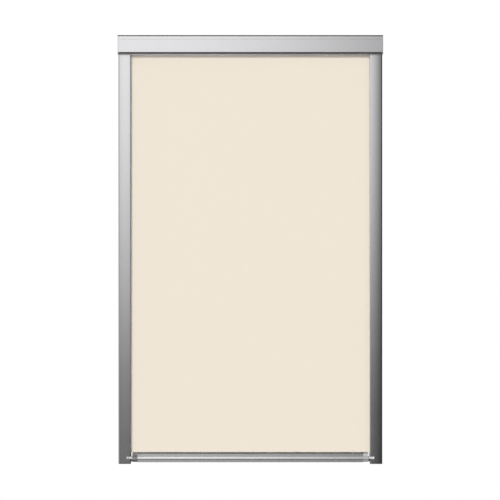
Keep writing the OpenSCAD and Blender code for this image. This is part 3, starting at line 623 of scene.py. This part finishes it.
# The notch's cutter reaches past the rail's inner edge, and from its web's height out past its front
overrun, cut_length = 2.5, 14
notch_in, notch_out = RAIL_W - NOTCH_L, RAIL_W + overrun
cut_place = Matrix.Translation((0, -WEB_H * MM, 0)) @ Matrix.Rotation(math.radians(90), 4, "X")
for side, word in SIDES:
    cover = upright(word + "_cover", cover_outline(), side, COVER_LOW[2], COVER_HIGH[2], ALUMINIUM_Z)
    arm_low = limits(word + "_joiner")[1][2] + ARM_GAP
    arm_top = arm_low + ARM_H
    notch = rounded([
        (notch_in, arm_low, ARM_H / 2), (notch_out, arm_low, 0),
        (notch_out, arm_top, 0), (notch_in, arm_top, ARM_H / 2)], step=10)
    across = [(side * (RAIL_OUT - u), z) for u, z in notch]
    cutter = extruded("notch", across, cut_length, ALUMINIUM_Z, cut_place)
    rail_front = even_shading(cut_out(cover, cutter))
    piece(word + "_rail_front", rail_front, "frame", "satin_aluminium", word + "_rail_cover")

bar = lengthways("bar_extrusion", bar_outline(), -BAR_HALF, BAR_HALF, MATT_ALUMINIUM, BAR_LOW)
piece("bar_extrusion", even_shading(bar), "bar", "satin_aluminium", "pull_bar")
grip = lengthways("finger_grip", grip_outline(), -BAR_HALF, BAR_HALF, MATT_ALUMINIUM, BAR_LOW)
piece("finger_grip", even_shading(grip), "bar", "satin_aluminium", "grip_strip")


# Pieces that are their CAD solids with the edges eased, as a mould, a press or a die leaves them

def eased(node, body, slot, finish, width):
    """A piece in place of a CAD node, its edges eased by a width in millimetres."""
    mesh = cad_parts[node].data.copy()
    mesh.name = node
    mesh.materials.clear()
    mesh.materials.append(finish)
    bm = bmesh.new()
    bm.from_mesh(mesh)
    bmesh.ops.remove_doubles(bm, verts=bm.verts, dist=1e-6)
    bmesh.ops.dissolve_limit(bm, angle_limit=math.radians(1), verts=bm.verts, edges=bm.edges)
    for face in bm.faces:
        face.material_index = 0
    bm.to_mesh(mesh)
    bm.free()
    host = placed(node + "_eased", mesh)
    bevel = host.modifiers.new("ease", "BEVEL")
    bevel.width = width * MM
    bevel.segments = 2
    bevel.limit_method = "ANGLE"
    bevel.angle_limit = math.radians(35)
    bevel.use_clamp_overlap = True
    return piece(node + "_eased", even_shading(evaluated_mesh(host)), body, slot, node)


for side, word in SIDES:
    eased(word + "_end_cap", "frame", "grey_plastic", LACQUERED_ABS, width=0.4)
    eased(word + "_rail_foot", "frame", "grey_plastic", LACQUERED_ABS, width=0.4)
    eased(word + "_rail_base", "frame", "satin_aluminium", ALUMINIUM_Z, width=0.15)
    eased(word + "_bracket", "frame", "zinc_steel", ZINC_STEEL, width=0.2)
    eased(word + "_bar_cap", "bar", "grey_plastic", LACQUERED_ABS, width=0.4)
    eased(word + "_joiner", "bar", "dark_plastic", DARK_ACETAL, width=0.2)
    eased(word + "_runner", "bar", "white_plastic", WHITE_ACETAL, width=0.25)


# Pile strips: rows of tufts round a denser core, on a flat back

TUFT_ROWS, TUFT_SPACING, TUFT_SPREAD = 4, 1.1, 2.1
TUFT_TIP_R, TUFT_ROOT_R, SHORTEST_TUFT = 0.12, 0.45, 0.88
# Radians about the tuft's own X and Y, and round it
LEAN_X, LEAN_Y, WHOLE_TURN = 0.08, 0.05, 6.28
# Shares of the tufts' spread and height
CORE_W, CORE_H = 0.8, 0.82

PILE, inputs, output = geometry_tree("pile_strip", {
    "Length": "Float", "Back Width": "Float", "Pile Width": "Float", "Height": "Float",
    "Tuft Spacing": "Float", "Seed": "Int", "Finish": "Material"})
count = add(PILE, "ShaderNodeMath", {0: inputs["Length"], 1: inputs["Tuft Spacing"]}, operation="DIVIDE")
grid = add(PILE, "GeometryNodeMeshGrid", {
    "Size X": inputs["Length"], "Size Y": inputs["Pile Width"],
    "Vertices X": count.outputs[0], "Vertices Y": TUFT_ROWS})
tuft = add(PILE, "GeometryNodeMeshCone", {
    "Vertices": 4, "Radius Top": TUFT_TIP_R * MM, "Radius Bottom": TUFT_ROOT_R * MM,
    "Depth": inputs["Height"]}, fill_type="NONE")
tilt = add(PILE, "FunctionNodeRandomValue", {
    "Min": (-LEAN_X, -LEAN_Y, 0.0), "Max": (LEAN_X, LEAN_Y, WHOLE_TURN),
    "Seed": inputs["Seed"]}, data_type="FLOAT_VECTOR")
# Sockets 2 and 3 are the least and most of a plain number
size = add(PILE, "FunctionNodeRandomValue", {
    2: SHORTEST_TUFT, 3: 1.0, "Seed": inputs["Seed"]}, data_type="FLOAT")
tufts = add(PILE, "GeometryNodeInstanceOnPoints", {
    "Points": grid.outputs["Mesh"], "Instance": tuft.outputs["Mesh"], "Rotation": tilt.outputs[0],
    "Scale": size.outputs[1]})
back_size = add(PILE, "ShaderNodeCombineXYZ", {
    "X": inputs["Length"], "Y": inputs["Back Width"], "Z": PILE_BACK_T * MM})
back = add(PILE, "GeometryNodeMeshCube", {"Size": back_size.outputs[0]})
raised_back = add(PILE, "GeometryNodeTransform", {
    "Geometry": back.outputs["Mesh"], "Translation": (0, 0, PILE_BACK_T / 2 * MM)})
core_w = add(PILE, "ShaderNodeMath", {0: inputs["Pile Width"], 1: CORE_W}, operation="MULTIPLY")
core_h = add(PILE, "ShaderNodeMath", {0: inputs["Height"], 1: CORE_H}, operation="MULTIPLY")
core_size = add(PILE, "ShaderNodeCombineXYZ", {
    "X": inputs["Length"], "Y": core_w.outputs[0], "Z": core_h.outputs[0]})
core = add(PILE, "GeometryNodeMeshCube", {"Size": core_size.outputs[0]})
core_middle = add(PILE, "ShaderNodeMath", {0: core_h.outputs[0], 1: 0.5}, operation="MULTIPLY")
core_lift = add(PILE, "ShaderNodeCombineXYZ", {"Z": core_middle.outputs[0]})
raised_core = add(PILE, "GeometryNodeTransform", {
    "Geometry": core.outputs["Mesh"], "Translation": core_lift.outputs[0]})
whole = add(PILE, "GeometryNodeJoinGeometry")
for part in (tufts, raised_core, raised_back):
    PILE.links.new(part.outputs[0], whole.inputs[0])
finish_tree(PILE, whole.outputs[0], inputs["Finish"], output)


def pile(node, body, length, height, matrix, seed):
    """A pile strip whose own X runs along it and Z points out of its slot."""
    mesh = grown(PILE, node + "_fibres", **{
        "Length": length * MM, "Back Width": (SLOT_W - 2 * FIT) * MM, "Pile Width": TUFT_SPREAD * MM,
        "Height": height * MM, "Tuft Spacing": TUFT_SPACING * MM, "Seed": seed, "Finish": GREY_PILE})
    mesh.transform(matrix)
    return piece(node + "_fibres", mesh, body, "grey_pile", node)


def frame_of(along, out, at):
    """The placing that puts own X along one direction and own Z along another, at a point in millimetres."""
    x, z = Vector(along), Vector(out)
    y = z.cross(x)
    turn = Matrix((x, y, z)).transposed().to_4x4()
    return Matrix.Translation([c * MM for c in at]) @ turn


for side, word in SIDES:
    pile_x = side * (RAIL_OUT - PILE_U)
    for end, out, seed in (("front", 1, 3), ("rear", -1, 7)):
        node = f"{word}_{end}_pile"
        low, high = limits(node)
        slot_floor = low[1] if out > 0 else high[1]
        pile(node, "frame", high[2] - low[2], high[1] - low[1],
             frame_of((0, 0, 1), (0, out, 0), (pile_x, slot_floor, (low[2] + high[2]) / 2)), seed=seed + side)
low, high = limits("header_pile")
pile("header_pile", "frame", high[0] - low[0], high[1] - low[1],
     frame_of((1, 0, 0), (0, 1, 0), (0, low[1], (low[2] + high[2]) / 2)), seed=11)
low, high = limits("bar_seal")
pile("bar_seal", "bar", high[0] - low[0], high[2] - low[2],
     frame_of((1, 0, 0), (0, 0, -1), (0, (low[1] + high[1]) / 2, high[2])), seed=13)


# Countersunk screws in the end caps

SHANK_R, TIP_L = 1.2, 1.0
RIM_IN, RIM_DROP = 0.15, 0.12
RECESS_W, RECESS_T, RECESS_D = 2.9, 0.55, 1.1


def screw_mesh():
    """A countersunk self-tapping screw with a cross recess.

    Its head's face is at the origin and its tip along -Z.
    """
    profile = [
        (0.0, 0.0), (SCREW_HEAD_R - RIM_IN, 0.0), (SCREW_HEAD_R, -RIM_DROP), (SHANK_R, -SCREW_HEAD_T),
        (SHANK_R, TIP_L - SCREW_L), (0.0, -SCREW_L)]
    bm = bmesh.new()
    points = [bm.verts.new((r * MM, 0, z * MM)) for r, z in profile]
    edges = [bm.edges.new(pair) for pair in zip(points, points[1:])]
    bmesh.ops.spin(bm, geom=points + edges, axis=(0, 0, 1), cent=(0, 0, 0), steps=32, angle=2 * math.pi)
    mesh = bpy.data.meshes.new("screw")
    bm.to_mesh(mesh)
    bm.free()
    mesh.materials.append(ZINC_STEEL)
    wings = []
    for turn in (45, 135):
        bm = bmesh.new()
        bmesh.ops.create_cube(bm, size=1.0)
        bmesh.ops.scale(bm, vec=(RECESS_W * MM, RECESS_T * MM, 2 * RECESS_D * MM), verts=bm.verts)
        bmesh.ops.rotate(bm, matrix=Matrix.Rotation(math.radians(turn), 3, "Z"), verts=bm.verts)
        wing = bpy.data.meshes.new("wing")
        bm.to_mesh(wing)
        bm.free()
        wings.append(wing)
    return cut_out(outward(mesh), *wings)


SCREWS, inputs, output = geometry_tree("cap_screws", {"Screw": "Object", "Finish": "Material"})
screw = add(SCREWS, "GeometryNodeObjectInfo", {"Object": inputs["Screw"]})
facing = add(SCREWS, "GeometryNodeInputNamedAttribute", {"Name": "facing"}, data_type="FLOAT_VECTOR")
turned = add(SCREWS, "FunctionNodeAlignRotationToVector", {"Vector": facing.outputs[0]}, axis="Z")
screws = add(SCREWS, "GeometryNodeInstanceOnPoints", {
    "Points": inputs["Geometry"], "Instance": screw.outputs["Geometry"], "Rotation": turned.outputs[0]})
finish_tree(SCREWS, screws.outputs[0], inputs["Finish"], output)

cap_half = limits("right_end_cap")[1][0]
port_z = HEADER_TOP - CASING_WALL - PORT_IN
port_depths = (BRACKET_SPACE + CASING_WALL + PORT_IN, HEADER_D - CASING_WALL - PORT_IN)
spots = [(side * cap_half, -depth, port_z) for side, word in SIDES for depth in port_depths]
heads = bpy.data.meshes.new("heads")
heads.from_pydata([[c * MM for c in spot] for spot in spots], [], [])
directions = heads.attributes.new("facing", "FLOAT_VECTOR", "POINT")
for value, spot in zip(directions.data, spots):
    value.vector = (math.copysign(1, spot[0]), 0, 0)
pattern = placed("screw_pattern", screw_mesh())
screw_set = grown(SCREWS, "cap_screws", heads, Screw=pattern, Finish=ZINC_STEEL)
bpy.data.objects.remove(pattern)
piece("cap_screws", even_shading(screw_set, angle=30), "frame", "zinc_steel", "end_cap_screws")


# Torsion spring

SPRING, inputs, output = geometry_tree("coil_spring", {
    "Turns": "Float", "Mean Radius": "Float", "Wire Radius": "Float", "Length": "Float",
    "Finish": "Material"})
coil = add(SPRING, "GeometryNodeCurveSpiral", {
    "Resolution": 24, "Rotations": inputs["Turns"], "Start Radius": inputs["Mean Radius"],
    "End Radius": inputs["Mean Radius"], "Height": inputs["Length"]})
wire = add(SPRING, "GeometryNodeCurvePrimitiveCircle", {"Resolution": 8, "Radius": inputs["Wire Radius"]})
wound = add(SPRING, "GeometryNodeCurveToMesh", {
    "Curve": coil.outputs[0], "Profile Curve": wire.outputs[0], "Fill Caps": True})
finish_tree(SPRING, wound.outputs[0], inputs["Finish"], output)

low, high = limits("torsion_spring")
wire_r = SPRING_WIRE / 2
spring = grown(SPRING, "wound_spring", **{
    "Turns": SPRING_TURNS, "Mean Radius": SPRING_R * MM, "Wire Radius": wire_r * MM,
    "Length": (high[0] - low[0] - SPRING_WIRE) * MM, "Finish": SPRING_STEEL})
spring_end = Matrix.Translation(((low[0] + wire_r) * MM, -AXIS_DEPTH * MM, AXIS_Z * MM))
spring = outward(spring, spring_end @ LENGTHWAYS)
spring.shade_smooth()
piece("wound_spring", spring, "roller", "spring_steel", "torsion_spring")


# Cloth

def unevenness(x, z):
    """How far woven cloth under tension stands off its plane: waves across it and slower swells down it."""
    wave_h, wave_l, wander, wander_l = 0.16, 47, 0.9, 210
    swell_h, swell_l, slant_l = 0.12, 133, 190
    wave = wave_h * math.sin(x / wave_l + wander * math.sin(z / wander_l))
    return wave + swell_h * math.sin(z / swell_l + x / slant_l)


def hanging_cloth():
    """The cloth from the roll down to just above the bar, uneven but held flat towards both."""
    across, down, held_l, bar_gap = 72, 120, 120, 0.2
    half_w = limits("cloth_sheet")[1][0]
    verts, faces = [], []
    for j in range(down + 1):
        z = AXIS_Z + (BAR_TOP + bar_gap - AXIS_Z) * j / down
        hold = min(1.0, (AXIS_Z - z) / held_l, (z - BAR_TOP) / held_l)
        for i in range(across + 1):
            x = -half_w + 2 * half_w * i / across
            verts.append((x * MM, (-CLOTH_DEPTH + hold * unevenness(x, z)) * MM, z * MM))
    for j in range(down):
        for i in range(across):
            a = j * (across + 1) + i
            faces.append((a, a + across + 1, a + across + 2, a + 1))
    mesh = bpy.data.meshes.new("hanging_cloth")
    mesh.from_pydata(verts, [], faces)
    mesh.materials.append(CLOTH_FRONT)
    mesh.materials.append(CLOTH_BACK)
    host = placed("hanging_cloth", mesh)
    solid = host.modifiers.new("thickness", "SOLIDIFY")
    solid.thickness = CLOTH_T * MM
    solid.offset = 0.0
    solid.material_offset = 1
    result = evaluated_mesh(host)
    result.shade_smooth()
    result.set_sharp_from_angle(angle=math.radians(40))
    return result


cloth = piece("hanging_cloth", hanging_cloth(), "frame", "blackout_cloth", "cloth_sheet")
hem_inset = 0.2
hem_half = BAR_HALF - hem_inset
hem_strip = lengthways("cloth_hem", hem_outline(), -hem_half, hem_half, CLOTH_FRONT, BAR_LOW)
hem = piece("cloth_hem", even_shading(hem_strip), "bar", "blackout_cloth")
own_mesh(cloth)

# Pieces that stay as their CAD solids
KEPT = {
    ALUMINIUM_X: ["roller_tube"],
    CLOTH_FRONT: ["cloth_roll"],
    WHITE_ACETAL: ["cloth_spline", "idle_bush", "hem_rod"],
    DARK_ACETAL: ["idle_plug", "spring_end_plug", "tube_anchor", "arbor_collar"],
    ZINC_STEEL: ["idle_pin", "spring_arbor"],
    SPRING_STEEL: ["left_brake_spring", "right_brake_spring"],
    BROWN_FELT: ["left_brake_pad", "right_brake_pad"],
}
for finish, nodes in KEPT.items():
    for node in nodes:
        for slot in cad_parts[node].material_slots:
            slot.material = finish


# Studio, in metres

def flat_stage(name, size, centre, tilt, material):
    """A flat sheet of the studio, tilted about X by degrees."""
    bm = bmesh.new()
    bmesh.ops.create_grid(bm, x_segments=1, y_segments=1, size=0.5)
    bmesh.ops.scale(bm, vec=(size[0], size[1], 1), verts=bm.verts)
    bm.transform(Matrix.Translation(centre) @ Matrix.Rotation(math.radians(tilt), 4, "X"))
    mesh = bpy.data.meshes.new(name)
    bm.to_mesh(mesh)
    bm.free()
    mesh.materials.append(material)
    obj = placed(name, mesh)
    return obj


white_paint = shader("white_painted_floor", Roughness=0.9, Base_Color=linear("#f4f4f4"))[0]
floor_width, floor_z = 28, -2.5
floor = flat_stage("floor", (floor_width, floor_width), (0, 0, floor_z), 0, white_paint)
# The floor is seen but throws no light: the world's even light and the reflected room stand for what it would
for ray in ("glossy", "diffuse"):
    setattr(floor, "visible_" + ray, False)


def graded(tree, value, stops):
    """A grey level that follows (position, level) stops along a value."""
    first, last = stops[0][0], stops[-1][0]
    along = add(tree, "ShaderNodeMapRange", {"Value": value, "From Min": first, "From Max": last}).outputs[0]
    node = add(tree, "ShaderNodeValToRGB", {"Fac": along})
    elements = node.color_ramp.elements
    while len(elements) < len(stops):
        elements.new(0.5)
    for element, (position, level) in zip(elements, stops):
        element.position = (position - first) / (last - first)
        element.color = (level, level, level, 1)
    return node.outputs[0]


def graded_card():
    """A reflector card for the metal: brightest high up on the left, fading down and to the right."""
    material = bpy.data.materials.new("graded_card")
    material.use_nodes = True
    tree = material.node_tree
    tree.nodes.clear()
    place = add(tree, "ShaderNodeTexCoord").outputs["Object"]
    apart = add(tree, "ShaderNodeSeparateXYZ", {"Vector": place}).outputs
    upward = graded(tree, apart["Z"], (
        (-1.45, 0.1), (-1.3, 0.11), (-1.0, 0.18), (-0.78, 0.3), (-0.5, 0.68),
        (-0.22, 0.98), (0.0, 1.12), (0.5, 1.15), (0.65, 1.6), (1.25, 1.6)))
    sideways = graded(tree, apart["X"], (
        (-1.0, 0.5), (-0.7, 0.75), (-0.5, 0.98), (-0.35, 1.0), (-0.13, 0.96), (0.0, 0.87),
        (0.13, 0.76), (0.26, 0.63), (0.33, 0.55), (0.5, 0.3), (0.62, 0.1), (0.88, 0.03)))
    both = add(tree, "ShaderNodeMath", {0: upward, 1: sideways}, operation="MULTIPLY")
    glow = add(tree, "ShaderNodeEmission", {"Strength": both.outputs[0]})
    tree.links.new(glow.outputs[0], add(tree, "ShaderNodeOutputMaterial").inputs["Surface"])
    return material


# The low card goes on to the right, and keeps the bar's left cap dark
CARDS = {
    "front_card": ((1.88, 2.7), (-0.06, -1.3, -0.1)),
    "low_card": ((0.62, 0.9), (1.19, -1.3, -1.3)),
}
card_finish = graded_card()
for name, (size, centre) in CARDS.items():
    card = flat_stage(name, size, centre, 90, card_finish)
    for ray in ("camera", "diffuse", "transmission", "shadow"):
        setattr(card, "visible_" + ray, False)


# What the metal reflects of the room, by direction: a panel's stops along its axes are multiplied, and the
# brightest panel shows. Straight up, straight down and level to the right it is dark, as the lines along the
# header's and the right rail's edges show
REFLECTED_ROOM = (
    # Lit walls on the left and behind
    {"X": ((-1.0, 0.55), (-0.5, 0.4), (0.0, 0.05), (1.0, 0.02))},
    {"Y": ((0.3, 0.0), (0.7, 0.5)), "Z": ((0.15, 1.0), (0.5, 0.1)), "X": ((0.0, 1.0), (0.35, 0.35))},
    # The floor: further off, to both sides and behind
    {"Z": ((-0.75, 0.0), (-0.5, 0.6), (-0.28, 0.6), (-0.18, 0.0))},
    {"Z": ((-0.6, 0.6), (-0.4, 0.0)), "X": ((-0.35, 1.0), (-0.15, 0.0), (0.15, 0.0), (0.35, 1.0))},
    {"Z": ((-0.6, 0.6), (-0.4, 0.0)), "Y": ((0.0, 0.0), (0.2, 1.0))},
    # The ceiling on the right, and a lamp overhead
    {"X": ((0.25, 0.0), (0.5, 0.45)), "Z": ((0.35, 0.0), (0.5, 1.0))},
    {"Y": ((0.02, 0.0), (0.1, 0.25), (0.25, 0.25), (0.35, 0.0)), "Z": ((0.92, 0.0), (0.95, 1.0))},
)


def studio_world():
    """Even white light on matt surfaces, a white ground for the camera, and a dim room in reflections."""
    even_light, white = 0.3, 1.0
    world = bpy.data.worlds.new("studio")
    world.use_nodes = True
    tree = world.node_tree
    tree.nodes.clear()
    rays = add(tree, "ShaderNodeLightPath").outputs
    direction = add(tree, "ShaderNodeTexCoord").outputs["Generated"]
    way = add(tree, "ShaderNodeSeparateXYZ", {"Vector": direction}).outputs
    room = 0.0
    for panel in REFLECTED_ROOM:
        level = 1.0
        for axis, stops in panel.items():
            grey = graded(tree, way[axis], stops)
            level = add(tree, "ShaderNodeMath", {0: grey, 1: level}, operation="MULTIPLY").outputs[0]
        room = add(tree, "ShaderNodeMath", {0: level, 1: room}, operation="MAXIMUM").outputs[0]
    lit = add(tree, "ShaderNodeMix", {
        "Factor": rays["Is Glossy Ray"], "A": even_light, "B": room}, data_type="FLOAT")
    seen = add(tree, "ShaderNodeMix", {
        "Factor": rays["Is Camera Ray"], "A": lit.outputs[0], "B": white}, data_type="FLOAT")
    ground = add(tree, "ShaderNodeBackground", {"Color": (1, 1, 1, 1), "Strength": seen.outputs[0]})
    tree.links.new(ground.outputs[0], add(tree, "ShaderNodeOutputWorld").inputs["Surface"])
    return world


scene.world = studio_world()
scene.view_settings.view_transform = "Standard"


def soft_sun(name, share, spread, azimuth, elevation):
    """A far soft light that gives a matt white surface facing it this share of white.

    Angles are in degrees, and azimuth 0 is straight in front.
    """
    data = bpy.data.lights.new(name, "SUN")
    data.energy = share * math.pi
    data.angle = math.radians(spread)
    obj = placed(name, data)
    turn, lift = math.radians(azimuth), math.radians(elevation)
    towards = Vector((math.sin(turn) * math.cos(lift), -math.cos(turn) * math.cos(lift), math.sin(lift)))
    obj.rotation_euler = towards.to_track_quat("Z", "Y").to_euler()
    obj.visible_glossy = False


# The key throws the header's short shadow on the cloth; the fill comes from straight in front
soft_sun("key", share=0.49, spread=7, azimuth=-13, elevation=13)
soft_sun("fill", share=0.25, spread=12, azimuth=0, elevation=0)
soft_sun("rear_fill", share=0.6, spread=40, azimuth=160, elevation=35)

# The photograph is taken from straight in front, at the blind's middle
distance, picture_width, sensor_width = 9.0, 1.1521, 36.0
picture_x, picture_z = -0.0008, -0.4736
camera_data = bpy.data.cameras.new("camera")
camera_data.sensor_width = sensor_width
camera_data.lens = sensor_width * (distance - HEADER_D * MM) / picture_width
camera = placed("camera", camera_data)
camera.location = (picture_x, -distance, picture_z)
camera.rotation_euler = (math.radians(90), 0, 0)
scene.camera = camera
